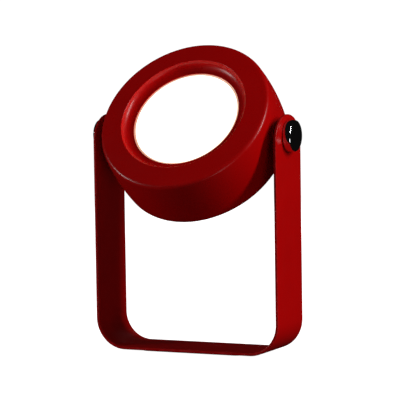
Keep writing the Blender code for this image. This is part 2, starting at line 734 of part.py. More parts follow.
def smooth_path(points, steps):
    """A Catmull-Rom curve through the points."""
    ends = [2 * points[0] - points[1], *points, 2 * points[-1] - points[-2]]
    path = []
    for a, b, c, d in zip(ends, ends[1:], ends[2:], ends[3:]):
        for i in range(steps):
            t = i / steps
            straight = 2 * b + (c - a) * t
            bent = (2 * a - 5 * b + 4 * c - d) * t ** 2 + (3 * b - a - 3 * c + d) * t ** 3
            path.append((straight + bent) / 2)
    return [*path, points[-1]]


def make_leads():
    board_front = DRIVER_BOARD[1] + GAP
    cell_exit = CELL_SIZE[1] / 2 + 2 * GAP + GUARD_SIZE[1]
    battery = [(cell_exit, CELL_LEAD_HEIGHT), *CELL_LEAD_BENDS, (CELL_LEAD_END, board_front)]
    edge = LED_BOARD_RADIUS
    bends = [(-edge - out, height) for out, height in LED_LEAD_BENDS]
    start = (LED_LEAD_INSET - edge, LED_BOARD[1] + GAP + LEAD_RADIUS)
    engine = [start, *bends, (bends[-1][0], board_front)]
    for pole, side, material in (("positive", 1, WIRE_RED), ("negative", -1, WIRE_BLACK)):
        x = side * LEAD_SPACING / 2
        lead(f"battery_lead_{pole}", battery, x, material)
        lead(f"led_lead_{pole}", engine, x, material)


# ---------------------------------------------------------------- pivot fittings


def cap_profile():
    """Knob cap: slightly tapered side, low dome, washer pocket and blind bore behind."""
    rim, crown = CAP
    dome_height = crown - CAP_SHOULDER
    dome = arc((0, CAP_SHOULDER), (CAP_SHOULDER_RADIUS, dome_height), 90, 0, 6)[1:]
    pocket_radius, pocket_floor = CAP_RECESS
    return [
        (0, crown),
        *dome,
        (CAP_RADIUS, rim + CAP_SOFTENING[1]),
        (CAP_RADIUS - CAP_SOFTENING[0], rim),
        (pocket_radius, rim),
        (pocket_radius, pocket_floor),
        (STUD_BORE, pocket_floor),
        (STUD_BORE, CAP_BORE_END),
        (0, CAP_BORE_END),
    ]


def make_pivot(side, turn):
    finish(turned(f"pivot_cap_{side}", cap_profile(), MEDIUM, turn), CHROME)
    finish(turned(f"pivot_stud_{side}", disc(STUD_RADIUS, *STUD), 20, turn), STEEL)
    washer = turned(f"friction_washer_{side}", ring(STUD_BORE, WASHER_RADIUS, *FRICTION_WASHER), COARSE, turn)
    finish(washer, BLACK_PLASTIC)
    thrust = ring(STUD_BORE, THRUST_WASHER_RADIUS, *THRUST_WASHER)
    finish(turned(f"thrust_washer_{side}", thrust, COARSE, turn), STEEL)
    flange_in, flange_out = BUSH_FLANGE
    bush = [
        (STUD_BORE, BUSH_END),
        (BUSH_RADIUS, BUSH_END),
        (BUSH_RADIUS, flange_out),
        (WASHER_RADIUS, flange_out),
        (WASHER_RADIUS, flange_in),
        (STUD_BORE, flange_in),
    ]
    finish(turned(f"pivot_bush_{side}", bush, COARSE, turn), BLACK_PLASTIC)


def make_pivot_nut(side, turn):
    nut = from_bmesh(
        f"pivot_nut_{side}", lambda bm: add_rod(bm, NUT_CORNER_RADIUS, *NUT, segments=6), PARTS, HEAD, turn
    )
    bore = from_bmesh(
        f"nut_bore_{side}", lambda bm: add_rod(bm, STUD_BORE, NUT[0] - MM, NUT[1] + MM), CUTTERS, HEAD, turn
    )
    boolean(nut, as_cutter(bore))
    finish(nut, STEEL)


# ---------------------------------------------------------------- assembly

clear_scene()
PARTS = new_collection(PART_NAME)
CUTTERS = new_collection("cutters")

HEAD = bpy.data.objects.new("head_pivot", None)
place(HEAD, PARTS, turn=(math.pi / 2 - REST_TILT, 0, 0), location=(0, 0, PIVOT_HEIGHT))

RED_METAL = new_material("red_bracket", (0.33, 0.003, 0.006), 0.38)
RED_CASING = new_material("red_casing", (0.33, 0.003, 0.006), 0.42)
CHROME = new_material("chrome", (0.8, 0.8, 0.82), 0.06, 1.0)
OPAL = new_material("opal", (0.95, 0.94, 0.9), 0.35)
RUBBER = new_material("rubber", (0.03, 0.03, 0.03), 0.8)
STEEL = new_material("steel", (0.55, 0.55, 0.56), 0.3, 1.0)
ALUMINIUM = new_material("aluminium", (0.75, 0.75, 0.76), 0.35, 1.0)
WHITE_PLASTIC = new_material("white_plastic", (0.88, 0.88, 0.86), 0.35)
BLACK_PLASTIC = new_material("black_plastic", (0.02, 0.02, 0.02), 0.5)
BUTTON_GREY = new_material("button_grey", (0.05, 0.05, 0.055), 0.6)
BOARD_WHITE = new_material("board_white", (0.85, 0.85, 0.83), 0.4)
BOARD_GREEN = new_material("board_green", (0.02, 0.16, 0.06), 0.45)
LED_YELLOW = new_material("led_phosphor", (0.85, 0.62, 0.1), 0.5)
FOIL = new_material("cell_foil", (0.62, 0.63, 0.65), 0.4, 0.6)
CLEAR = new_material("clear_pipe", (0.85, 0.88, 0.9), 0.15)
WIRE_RED = new_material("wire_red", (0.5, 0.01, 0.01), 0.5)
WIRE_BLACK = new_material("wire_black", (0.01, 0.01, 0.01), 0.5)

make_bracket()
make_base_pad()
make_front_casing()
make_rear_cover()
make_cover_seal()
make_cover_screws()
make_diffuser()
make_reflector()
make_led_board()
make_leds()
make_battery()
make_driver_board()
make_switch_and_button()
make_leads()
for side_name, side_turn in SIDES:
    make_pivot(side_name, side_turn)
    make_pivot_nut(side_name, side_turn)
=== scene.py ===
"""Looks for a small tilting darkroom safelight: a red lamp head in a bent strap stand.

Metres, +Z up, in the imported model's frame. Head pieces are worked out in the head's own frame
(across, up the face, forwards through the lens) with its origin on the tilt axis.
"""

import json
import math

import bmesh
import bpy
import numpy as np
from mathutils import Matrix, Vector


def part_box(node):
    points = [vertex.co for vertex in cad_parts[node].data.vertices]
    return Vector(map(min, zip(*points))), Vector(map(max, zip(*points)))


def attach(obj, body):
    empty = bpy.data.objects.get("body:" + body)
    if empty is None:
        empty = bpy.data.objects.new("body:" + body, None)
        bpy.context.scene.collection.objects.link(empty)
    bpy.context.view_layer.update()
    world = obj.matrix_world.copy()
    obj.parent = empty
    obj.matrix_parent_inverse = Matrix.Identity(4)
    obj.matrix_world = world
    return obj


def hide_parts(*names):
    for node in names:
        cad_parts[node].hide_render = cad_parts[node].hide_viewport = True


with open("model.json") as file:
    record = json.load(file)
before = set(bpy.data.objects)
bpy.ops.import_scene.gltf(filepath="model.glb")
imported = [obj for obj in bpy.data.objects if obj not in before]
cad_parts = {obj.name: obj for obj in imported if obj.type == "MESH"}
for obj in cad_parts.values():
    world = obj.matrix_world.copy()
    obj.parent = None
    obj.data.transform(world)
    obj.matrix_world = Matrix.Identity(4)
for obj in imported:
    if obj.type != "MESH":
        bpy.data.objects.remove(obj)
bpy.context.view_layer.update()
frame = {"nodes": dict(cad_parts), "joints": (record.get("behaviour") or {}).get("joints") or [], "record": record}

MM = 0.001
GAP = 0.3 * MM  # left between a piece and the one it sits in
WELD = 0.002 * MM  # points closer than this become one
CLEAR = 0.03 * MM  # keeps a cutter's rings off the surface it goes through
LEAD = 1 * MM  # how far a cutter starts outside the surface
STRAP_STEP = 0.8 * MM  # the points along an outline are at most about this far apart
DRUM_STEP = 3 * MM
COVER_STEP = 2.5 * MM
SLOT_STEP = 1 * MM
SMOOTH_LIMIT = math.radians(40)  # edges that turn more than this stay sharp
WEAR_AND_HIGHLIGHT_RADIUS = 0.3 * MM  # corners this tight or tighter take the full wear colour and painted edge highlight
SHORTEST_RUN = 0.02 * MM  # keeps the turn per length finite at doubled points

# ---------------------------------------------------------------- places, from the frame

JOINTS = {joint["name"]: joint for joint in frame["joints"]}
PIVOT = np.array(JOINTS["head_tilt"]["pos_m"], float)
LENS_AXIS = np.array(JOINTS["button_press"]["axis"], float)
ACROSS = np.array([1.0, 0.0, 0.0])
UP_THE_FACE = np.cross(LENS_AXIS, ACROSS)
HEAD = (PIVOT, ACROSS, UP_THE_FACE, LENS_AXIS)
RIGHT_PIVOT = (PIVOT, UP_THE_FACE, LENS_AXIS, ACROSS)
LEFT_PIVOT = (PIVOT, LENS_AXIS, UP_THE_FACE, -ACROSS)
SIDES = (("right", RIGHT_PIVOT), ("left", LEFT_PIVOT))


def node_box(node):
    """The low and high corners of a CAD node's box."""
    low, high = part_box(node)
    return np.array(low, float), np.array(high, float)


# Strap stand.
STRAP_LOW, STRAP_HIGH = node_box("bracket")
STRAP_THICKNESS = 1.6 * MM
STRAP_EDGE_ROUND = 0.45 * MM
BEND_RADIUS = 17.2 * MM  # outside of each bend
ARM_HOLE_RADIUS = 4.3 * MM
ARM_END_ARCH = 14.8 * MM  # height of the arched end, sides to top
PAD_LOW, PAD_HIGH = node_box("base_pad")
PAD_CORNER = 5 * MM
PAD_EDGE_ROUND = 0.2 * MM

# Drum. Heights are forwards of the tilt axis.
DRUM_RADIUS = 49.45 * MM
DRUM_FULLEST = 2 * MM
BARREL_RADIUS = 125 * MM
FRONT_EDGE = 19.15 * MM
FRONT_EDGE_ROUND = 2.2 * MM
LIP_RADIUS = 35.8 * MM
LIP_ROUND = 0.4 * MM
LIP_FRONT = 20.3 * MM
LENS_OPENING = 30.4 * MM
LENS_EDGE = 15.7 * MM
SEAT = 15.1 * MM
COLLAR_BORE = 38.6 * MM
COLLAR_OUTSIDE = 40.6 * MM
COLLAR_BACK = 8 * MM
WALL = 2 * MM
FRONT_WALL = 2.4 * MM
DRUM_BACK = -14 * MM
BACK_EDGE_ROUND = 1.2 * MM
SEAL_LEDGE_BORE = 44.8 * MM
SEAL_LEDGE_BACK = -11.6 * MM
SEAL_LEDGE_FRONT = -10.2 * MM
BOSS_RADIUS = 8.8 * MM
BOSS_END = 50.3 * MM
BOSS_BLEND = 0.7 * MM
BOSS_REACH = 0.24  # radians each side of the tilt axis with closer facets
SKIN_DEPTH = 0.05 * MM  # the outside of the drum, told from its inner wall

# Rear cover.
COVER_RADIUS = 46 * MM
COVER_SPIGOT_FRONT = -13 * MM
COVER_RIM = -13.6 * MM
COVER_FLAT_RADIUS = 34 * MM
COVER_BACK = -19.5 * MM
BUTTON_HOLE = 7.4 * MM
BUTTON_HOLE_ROUND = 0.5 * MM
SCREW_CIRCLE = 38 * MM
COUNTERBORE_RADIUS = 3 * MM
COUNTERBORE_FLOOR = -16.9 * MM
COUNTERBORE_FLARE = 0.25 * MM
COUNTERBORE_SINK = 0.35 * MM  # about how far the dome has dropped at the screws
USB_CENTRE = -26 * MM  # up the face from the middle
USB_SLOT = (9.5 * MM, 3.8 * MM)
USB_SLOT_FLARE = 0.35 * MM
USB_SLOT_DEPTH = 4 * MM
USB_SHELL = (8.9 * MM, 3.2 * MM)
USB_SHELL_WALL = 0.4 * MM
USB_SHELL_LIP = 0.1 * MM
USB_SHELL_MOUTH = 4.5 * MM
USB_SHELL_LENGTH = 6.5 * MM
USB_BACK = -19.2 * MM
LIGHT_PIPE_CENTRE = -32 * MM
LIGHT_PIPE_RADIUS = 1.25 * MM
LIGHT_PIPE_DOME = 0.5 * MM
LIGHT_PIPE_PROUD = 0.2 * MM
LIGHT_PIPE_FRONT = -12.7 * MM
LIGHT_PIPE_HOLE = 1.55 * MM
LIGHT_HOLE_FLARE = 0.2 * MM
LIGHT_HOLE_DEPTH = 3 * MM

# Cover screws. Lengths are from the back of the head.
SCREW_HEAD_RADIUS = 2.7 * MM
SCREW_HEAD_DEPTH = 1.3 * MM
SCREW_HEAD_ROUND = 0.8 * MM
SCREW_SHANK_RADIUS = 1.2 * MM
SCREW_LENGTH = 10 * MM
SCREW_POINT = 1 * MM
SOCKET_FLAT = 1.15 * MM  # middle of the socket to a flat
SOCKET_DEPTH = 0.9 * MM
SOCKET_MOUTH = 0.1 * MM  # depth of the opened-out mouth
SOCKET_MOUTH_SHARE = 1.12  # how much wider the mouth is

# Lens and button.
LENS_RADIUS = 29.6 * MM
LENS_ROUND = 0.4 * MM
LENS_FADE = 1 * MM  # the glow dims within this much of the face's edge
LENS_GLOW = 2.6
LENS_FACE = 15.4 * MM
LENS_CROWN = 0.25 * MM
LENS_RIM_RADIUS = 35 * MM
LENS_RIM_BACK = 12.8 * MM
LENS_RIM_FRONT = 14.8 * MM
BUTTON_RADIUS = 7 * MM
BUTTON_BACK = -20.3 * MM
BUTTON_FLANGE_RADIUS = 8.8 * MM
BUTTON_FLANGE_BACK = -17.2 * MM
BUTTON_FLANGE_FRONT = -16.4 * MM
BUTTON_ROUND = 0.8 * MM
BUTTON_DISH = 0.35 * MM

# Pivot fittings. Heights are outwards along the tilt axis; a "round" is a corner's radius.
CAP_RADIUS = 8.7 * MM
CAP_RIM = 55.3 * MM
CAP_RIM_ROUND = 0.15 * MM
CAP_FOOT = (0.3 * MM, 0.4 * MM)  # radius lost and height, at the rim
CAP_FOOT_ROUND = 0.3 * MM
CAP_POCKET_RADIUS = 7.7 * MM
CAP_POCKET_FLOOR = 56.4 * MM
CAP_SHOULDER_RADIUS = 8.4 * MM
CAP_SHOULDER = 59.1 * MM
CAP_EDGE = (8.42 * MM, 59.05 * MM)
CAP_EDGE_ROUND = 0.25 * MM
CAP_EDGE_APPROACH = (8.3 * MM, 59.45 * MM)  # the dome comes down to the edge from here
CAP_CROWN = 60.8 * MM
STUD_BORE = 2.8 * MM
FLANGE_RADIUS = 8 * MM
FRICTION_RING = (50.6 * MM, 51.6 * MM)
BUSH_FLANGE = (51.9 * MM, 53.1 * MM)
BUSH_FLANGE_ROUND = 0.3 * MM
BUSH_RADIUS = 4 * MM
BUSH_END = 54.8 * MM
RING_ROUND = 0.2 * MM

# Camera and studio.
CAMERA_TURNS = (25.972, 4.346, -0.898)  # azimuth, elevation and roll, in degrees
CAMERA_TARGET = (1.8 * MM, 0, 83.07 * MM)
CAMERA_DISTANCE = 1.228
CAMERA_LENS = 201.9
CAMERA_SENSOR = 36
CAMERA_NEAREST = 0.05
LIT_MIDDLE = (0, 0, 0.1)
LIGHT_DISTANCE = 1.0
SEEN_WHITE = 1.1
FILL = (0.004, 0.05)  # strength of the surroundings for other rays, and for diffuse ones
FLOOR_REACH = 3.0
FLOOR_GLOW = 0.99


# ---------------------------------------------------------------- surfaces


def placed(points, place):
    """Points given along a place's three directions, moved into the model's frame."""
    origin, *directions = place
    return origin + points @ np.array(directions)


def skin(name, points, along, edge=None):
    """A mesh object over a grid of points; doubled seams and poles are welded.

    The UV map holds metres: u is given along each row, and v is the distance travelled down the
    columns. The attribute "edge" is 1 on corners, which take a lighter colour that is partly wear and
    partly a painted edge highlight, and 0 elsewhere.
    """
    rows, columns = points.shape[:2]
    index = np.arange(rows * columns).reshape(rows, columns)
    corners = (index[:-1, :-1], index[1:, :-1], index[1:, 1:], index[:-1, 1:])
    quads = np.stack(corners, axis=-1).reshape(-1, 4)
    mesh = bpy.data.meshes.new(name)
    mesh.from_pydata(points.reshape(-1, 3), [], quads)
    steps = np.linalg.norm(np.diff(points, axis=1), axis=-1)
    travelled = np.concatenate([np.zeros((rows, 1)), np.cumsum(steps, axis=1)], axis=1)
    uv = np.stack([np.broadcast_to(along[:, None], (rows, columns)), travelled], axis=-1)
    mesh.uv_layers.new(name="run").data.foreach_set("uv", uv.reshape(-1, 2)[quads.ravel()].ravel())
    wear_and_highlight = mesh.attributes.new("edge", "FLOAT", "POINT")
    wear_and_highlight.data.foreach_set("value", np.zeros(rows * columns) if edge is None else edge.ravel())
    welded = bmesh.new()
    welded.from_mesh(mesh)
    bmesh.ops.remove_doubles(welded, verts=welded.verts, dist=WELD)
    bmesh.ops.recalc_face_normals(welded, faces=welded.faces)
    welded.to_mesh(mesh)
    welded.free()
    mesh.shade_smooth()
    mesh.set_sharp_from_angle(angle=SMOOTH_LIMIT)
    piece = bpy.data.objects.new(name, mesh)
    bpy.context.scene.collection.objects.link(piece)
    return piece


def rounded(corners, steps=7):
    """An outline through (radius, height, rounding) corners.

    At each corner an arc touches both straight runs: it starts and ends at rounding / tan(half the
    corner's angle) from the corner, and sweeps round its centre by the angle the outline turns.
    """
    corners = np.array(corners, float)
    points = []
    for before, corner, after in zip(corners, corners[1:], corners[2:]):
        here, rounding = corner[:2], corner[2]
        back = (before[:2] - here) / np.linalg.norm(before[:2] - here)
        on = (after[:2] - here) / np.linalg.norm(after[:2] - here)
        half = math.acos(np.clip(back @ on, -1, 1)) / 2
        if rounding < 0.01 * MM or half > math.radians(89):
            points.append(here[None])
            continue
        touch = rounding / math.tan(half)
        centre = here + (back + on) / np.linalg.norm(back + on) * rounding / math.sin(half)
        start, end = here + back * touch - centre, here + on * touch - centre
        sweep = math.pi - 2 * half
        t = np.linspace(0, 1, steps)[:, None]
        points.append(centre + (np.sin((1 - t) * sweep) * start + np.sin(t * sweep) * end) / math.sin(sweep))
    return np.concatenate([corners[:1, :2], *points, corners[-1:, :2]])


def refined(outline, spacing):
    """The same outline with further points, so that none are more than spacing apart."""
    lengths = np.linalg.norm(np.diff(outline, axis=0), axis=1)
    run = np.concatenate([[0], np.cumsum(lengths)])
    every = np.unique(np.concatenate([run, np.arange(0, run[-1], spacing)]))
    return np.stack([np.interp(every, run, outline[:, 0]), np.interp(every, run, outline[:, 1])], axis=1)


def cornering(outline):
    """How tightly an outline turns at each point: 1 at the wear and highlight radius or less, 0 on the flat."""
    direction = np.diff(outline, axis=0)
    length = np.linalg.norm(direction, axis=1)
    heading = np.unwrap(np.arctan2(direction[:, 1], direction[:, 0]))
    turn = np.abs(np.diff(heading)) / np.maximum((length[1:] + length[:-1]) / 2, SHORTEST_RUN)
    return np.clip(np.concatenate([[0], turn, [0]]) * WEAR_AND_HIGHLIGHT_RADIUS, 0, 1)


def angles_round(count, fine_at=(), reach=0.0, fine_count=0):
    """Angles round a full turn, closer together near those in fine_at."""
    near = [np.linspace(angle - reach, angle + reach, fine_count) % math.tau for angle in fine_at]
    inner = np.unique(np.round(np.concatenate([np.linspace(0, math.tau, count + 1)[:-1], *near]), 7))
    return np.append(inner[inner < math.tau - 1e-4], math.tau)


def turned(outline, angles):
    """The outline's (radius, height) pairs carried round the axis: (r cos a, r sin a, height)."""
    radius, height = outline[:, 0], outline[:, 1]
    return np.stack(
        [
            np.cos(angles)[:, None] * radius,
            np.sin(angles)[:, None] * radius,
            np.broadcast_to(height, (len(angles), len(height))),
        ],
        axis=-1,
    )


def turned_piece(name, outline, place, count=96):
    """A closed solid of revolution standing in a place."""
    angles = angles_round(count)
    edge = np.broadcast_to(cornering(outline), (len(angles), len(outline)))
    widest = outline[:, 0].max()
    return skin(name, placed(turned(outline, angles), place), angles * widest, edge)


def slab(outline, outward, spine, section):
    """A flat slab with rounded edges, as (along, across, depth).

    Each point of the outline has a rib: from the spine out to the outline less the section's inset,
    down round the edge, and back under to the spine. The section's rows are (share of the way in
    to the spine, inset, depth).
    """
    share, inset, depth = (np.array(column)[None, :, None] for column in zip(*section))
    rim = outline[:, None] - outward[:, None] * inset
    flat = rim + (spine[:, None] - rim) * share
    return np.concatenate([flat, np.broadcast_to(depth, (*flat.shape[:2], 1))], axis=-1)


def edge_section(thickness, rounding, steps=6):
    """Section of a slab: top from the spine outwards, a round at each corner of the edge, underside."""
    bend = np.linspace(0, math.pi / 2, steps)
    top = [(1.0, rounding, 0.0), (0.5, rounding, 0.0)]
    upper = [(0.0, rounding * (1 - math.sin(a)), rounding * (1 - math.cos(a))) for a in bend]
    lower = [(0.0, inset, thickness - depth) for _, inset, depth in reversed(upper)]
    under = [(0.5, rounding, thickness), (1.0, rounding, thickness)]
    return [*top, *upper, *lower, *under]


def capsule(half_length, half_width, end_reach, spacing, end_steps):
    """A long outline with straight sides and half-elliptical ends, its outward normals and its spine."""
    straight = np.linspace(-half_length, half_length, max(2, int(2 * half_length / spacing)))
    end = np.linspace(-math.pi / 2, math.pi / 2, end_steps)[1:-1]
    side = np.stack([straight, np.full_like(straight, -half_width)], axis=1)
    cap = np.stack([half_length + end_reach * np.cos(end), half_width * np.sin(end)], axis=1)
    cap_normal = np.stack([half_width * np.cos(end), end_reach * np.sin(end)], axis=1)
    cap_normal /= np.linalg.norm(cap_normal, axis=1)[:, None]
    half_outline = np.concatenate([side, cap])
    half_normal = np.concatenate([np.tile([0.0, -1.0], (len(side), 1)), cap_normal])
    outline = np.concatenate([half_outline, -half_outline, half_outline[:1]])
    outward = np.concatenate([half_normal, -half_normal, half_normal[:1]])
    spine = np.stack([np.clip(outline[:, 0], -half_length, half_length), np.zeros(len(outline))], axis=1)
    return outline, outward, spine


def cut(piece, cutter):
    """Takes the cutter's shape out of the piece for good, and removes the cutter.

    The result is welded, because the next cut needs a closed piece.
    """
    modifier = piece.modifiers.new("cut", "BOOLEAN")
    modifier.operation = "DIFFERENCE"
    modifier.solver = "EXACT"
    modifier.object = cutter
    graph = bpy.context.evaluated_depsgraph_get()
    mesh = bpy.data.meshes.new_from_object(piece.evaluated_get(graph))
    piece.modifiers.clear()
    piece.data = mesh
    welded = bmesh.new()
    welded.from_mesh(mesh)
    bmesh.ops.remove_doubles(welded, verts=welded.verts, dist=WELD)
    bmesh.ops.dissolve_degenerate(welded, edges=welded.edges, dist=WELD)
    welded.to_mesh(mesh)
    welded.free()
    mesh.set_sharp_from_angle(angle=SMOOTH_LIMIT)
    bpy.data.objects.remove(cutter, do_unlink=True)


def fit_out(piece, body, slot, *nodes):
    """Rides the piece on its body, gives it its slot's finish, and stands it for its CAD nodes."""
    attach(piece, body)
    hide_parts(*nodes)
    piece.data.materials.clear()
    piece.data.materials.append(FINISHES[slot])


# ---------------------------------------------------------------- finishes


def grainy_finish(
    name,
    colours,
    roughness,
    patch=20 * MM,
    grain=0.5 * MM,
    grain_depth=0.01 * MM,
    grain_strength=0.3,
    stretch=(1, 1, 1),
    wear_and_highlight=None,
    **sockets,
):
    """A finish from three noises on Object coordinates.

    Broad patches mix two colours, a finer noise moves the roughness between two values, and the
    finest is the grain's relief. A lighter colour, partly wear and partly a painted edge highlight,
    shows through on corners, where the attribute "edge" beats a noise.
    """
    material = bpy.data.materials.new(name)
    material.use_nodes = True
    nodes, links = material.node_tree.nodes, material.node_tree.links
    shader = nodes["Principled BSDF"]
    for socket, value in sockets.items():
        shader.inputs[socket.replace("_", " ")].default_value = value
    coordinates = nodes.new("ShaderNodeTexCoord")
    mapping = nodes.new("ShaderNodeMapping")
    mapping.inputs["Scale"].default_value = stretch
    links.new(coordinates.outputs["Object"], mapping.inputs["Vector"])

    def noise(size, detail):
        texture = nodes.new("ShaderNodeTexNoise")
        texture.inputs["Scale"].default_value = 1 / size
        texture.inputs["Detail"].default_value = detail
        links.new(mapping.outputs["Vector"], texture.inputs["Vector"])
        return texture.outputs["Fac"]

    def spread(value, low, high, from_low=0.3, from_high=0.7):
        ranged = nodes.new("ShaderNodeMapRange")
        ranged.inputs["From Min"].default_value = from_low
        ranged.inputs["From Max"].default_value = from_high
        ranged.inputs["To Min"].default_value = low
        ranged.inputs["To Max"].default_value = high
        links.new(value, ranged.inputs["Value"])
        return ranged.outputs["Result"]

    def mixed(factor, first, second):
        mix = nodes.new("ShaderNodeMix")
        mix.data_type = "RGBA"
        links.new(factor, mix.inputs["Factor"])
        for socket, value in ((mix.inputs[6], first), (mix.inputs[7], second)):
            if isinstance(value, tuple):
                socket.default_value = (*value, 1)
            else:
                links.new(value, socket)
        return mix.outputs[2]

    colour = mixed(spread(noise(patch, 3), 0, 1), *colours)
    # Corners take a lighter colour: partly wear, partly a painted highlight along the edges.
    if wear_and_highlight:
        edge = nodes.new("ShaderNodeAttribute")
        edge.attribute_name = "edge"
        wear_and_highlight_mask = nodes.new("ShaderNodeMath")
        wear_and_highlight_mask.operation = "MULTIPLY"
        links.new(edge.outputs["Fac"], wear_and_highlight_mask.inputs[0])
        links.new(spread(noise(patch / 5, 4), 0, 1, 0.45, 0.65), wear_and_highlight_mask.inputs[1])
        colour = mixed(wear_and_highlight_mask.outputs[0], colour, wear_and_highlight)
    links.new(colour, shader.inputs["Base Color"])
    links.new(spread(noise(patch / 4, 5), *roughness), shader.inputs["Roughness"])
    relief = nodes.new("ShaderNodeBump")
    relief.inputs["Strength"].default_value = grain_strength
    relief.inputs["Distance"].default_value = grain_depth
    links.new(noise(grain, 2), relief.inputs["Height"])
    links.new(relief.outputs["Normal"], shader.inputs["Normal"])
    return material


def opal_finish():
    """Lit opal: a warm white glow that dims just before the face's edge.

    The piece's UV v runs outwards from the middle of the face, so the glow follows it.
    """
    material = grainy_finish("opal", ((0.93, 0.92, 0.88), (0.9, 0.88, 0.83)), (0.3, 0.4), patch=15 * MM)
    nodes, links = material.node_tree.nodes, material.node_tree.links
    shader = nodes["Principled BSDF"]
    run = nodes.new("ShaderNodeUVMap")
    run.uv_map = "run"
    split = nodes.new("ShaderNodeSeparateXYZ")
    out = nodes.new("ShaderNodeMapRange")
    out.inputs["From Min"].default_value = LENS_RADIUS - LENS_FADE
    out.inputs["From Max"].default_value = LENS_RADIUS
    ramp = nodes.new("ShaderNodeValToRGB")
    stops = ramp.color_ramp.elements
    stops[0].position, stops[0].color = 0.0, (1.0, 0.93, 0.82, 1)
    stops[1].position, stops[1].color = 1.0, (0.2, 0.11, 0.07, 1)
    for position, colour in ((0.5, (1.0, 0.93, 0.84, 1)), (0.8, (0.5, 0.38, 0.28, 1))):
        stop = stops.new(position)
        stop.color = colour
    links.new(run.outputs["UV"], split.inputs["Vector"])
    links.new(split.outputs["Y"], out.inputs["Value"])
    links.new(out.outputs["Result"], ramp.inputs["Fac"])
    links.new(ramp.outputs["Color"], shader.inputs["Emission Color"])
    shader.inputs["Emission Strength"].default_value = LENS_GLOW
    return material


RED = ((0.46, 0.0006, 0.0008), (0.43, 0.0004, 0.0006))
# Lighter red for corners: partly wear to the paint, partly a painted edge highlight.
EDGE_WEAR_AND_HIGHLIGHT_RED = (0.56, 0.012, 0.014)
FINISHES = {
    "red_bracket": grainy_finish(
        "red_bracket", RED, (0.28, 0.36), grain=0.6 * MM, grain_strength=0.12, wear_and_highlight=EDGE_WEAR_AND_HIGHLIGHT_RED,
        Specular_IOR_Level=0.22,
    ),
    "red_casing": grainy_finish(
        "red_casing", RED, (0.26, 0.33), grain=0.35 * MM, grain_strength=0.12, wear_and_highlight=EDGE_WEAR_AND_HIGHLIGHT_RED,
        Specular_IOR_Level=0.22,
    ),
    "chrome": grainy_finish(
        "chrome", ((0.82, 0.82, 0.84), (0.76, 0.76, 0.79)), (0.04, 0.1), patch=6 * MM,
        grain=1.5 * MM, grain_depth=0.002 * MM, Metallic=1.0,
    ),
    "opal": opal_finish(),
    "rubber": grainy_finish(
        "rubber", ((0.03, 0.03, 0.03), (0.045, 0.044, 0.043)), (0.7, 0.9), grain=0.7 * MM,
        grain_depth=0.05 * MM, grain_strength=0.6,
    ),
    "steel": grainy_finish(
        "steel", ((0.56, 0.56, 0.57), (0.48, 0.49, 0.51)), (0.24, 0.42), patch=3 * MM,
        grain=0.2 * MM, Metallic=1.0,
    ),
    "aluminium": grainy_finish(
        "aluminium", ((0.77, 0.77, 0.78), (0.7, 0.7, 0.72)), (0.3, 0.45), patch=8 * MM,
        grain=0.4 * MM, stretch=(1, 12, 12), Metallic=1.0,
    ),
    "white_plastic": grainy_finish(
        "white_plastic", ((0.9, 0.9, 0.88), (0.85, 0.85, 0.82)), (0.3, 0.42)
    ),
    "black_plastic": grainy_finish(
        "black_plastic", ((0.018, 0.018, 0.019), (0.026, 0.026, 0.027)), (0.42, 0.6),
        grain=0.3 * MM, grain_strength=0.5,
    ),
    "button_grey": grainy_finish(
        "button_grey", ((0.05, 0.05, 0.054), (0.065, 0.065, 0.068)), (0.55, 0.72), patch=5 * MM,
        grain=0.25 * MM, grain_strength=0.5, wear_and_highlight=(0.11, 0.11, 0.11),
    ),
    "board_white": grainy_finish(
        "board_white", ((0.86, 0.86, 0.84), (0.8, 0.8, 0.77)), (0.35, 0.5), patch=6 * MM
    ),
    "board_green": grainy_finish(
        "board_green", ((0.02, 0.16, 0.06), (0.03, 0.22, 0.08)), (0.35, 0.55), patch=3 * MM
    ),
    "led_phosphor": grainy_finish(
        "led_phosphor", ((0.85, 0.6, 0.1), (0.8, 0.5, 0.06)), (0.45, 0.65), patch=1 * MM, grain=0.15 * MM
    ),
    "cell_foil": grainy_finish(
        "cell_foil", ((0.64, 0.65, 0.67), (0.52, 0.53, 0.55)), (0.28, 0.5), patch=9 * MM,
        grain=3 * MM, grain_depth=0.1 * MM, Metallic=0.6,
    ),
    "clear_pipe": grainy_finish(
        "clear_pipe", ((0.9, 0.93, 0.95), (0.82, 0.87, 0.9)), (0.08, 0.18), patch=2 * MM,
        Transmission_Weight=0.6,
    ),
    "wire_red": grainy_finish("wire_red", ((0.5, 0.01, 0.01), (0.4, 0.008, 0.008)), (0.4, 0.6), patch=4 * MM),
    "wire_black": grainy_finish(
        "wire_black", ((0.01, 0.01, 0.01), (0.02, 0.02, 0.02)), (0.4, 0.6), patch=4 * MM
    ),
}


def finish_inner_pieces():
    """Gives every carried-over CAD node the finish of its slot."""
    for part in frame["record"]["subparts"]:
        mesh = frame["nodes"][part["node"]].data
        mesh.materials.clear()
        mesh.materials.append(FINISHES[part["material_slot"]])


# ---------------------------------------------------------------- strap stand


def bent_strap(run, side, depth):
    """Bends a flat strap into the U, as x, y and z.

    The run is measured along the outside from the left pivot: down the left arm, round a bend,
    along the bottom, round the other bend and up. In each bend the heading turns evenly with the
    run. Depth is measured inwards, square to the heading.
    """
    outside = STRAP_HIGH[0]
    arm = PIVOT[2] - STRAP_LOW[2] - BEND_RADIUS
    quarter = BEND_RADIUS * math.pi / 2
    bottom = 2 * (outside - BEND_RADIUS)
    first = np.clip((run - arm) / BEND_RADIUS, 0, math.pi / 2)
    second = np.clip((run - arm - quarter - bottom) / BEND_RADIUS, 0, math.pi / 2)
    down = np.minimum(run, arm)
    across = np.clip(run - arm - quarter, 0, bottom)
    up = np.maximum(run - arm - quarter - bottom - quarter, 0)
    x = -outside + BEND_RADIUS * (1 - np.cos(first)) + across + BEND_RADIUS * np.sin(second)
    z = PIVOT[2] - down - BEND_RADIUS * np.sin(first) + BEND_RADIUS * (1 - np.cos(second)) + up
    heading = first + second - math.pi / 2
    return np.stack([x - depth * np.sin(heading), side, z + depth * np.cos(heading)], axis=-1)


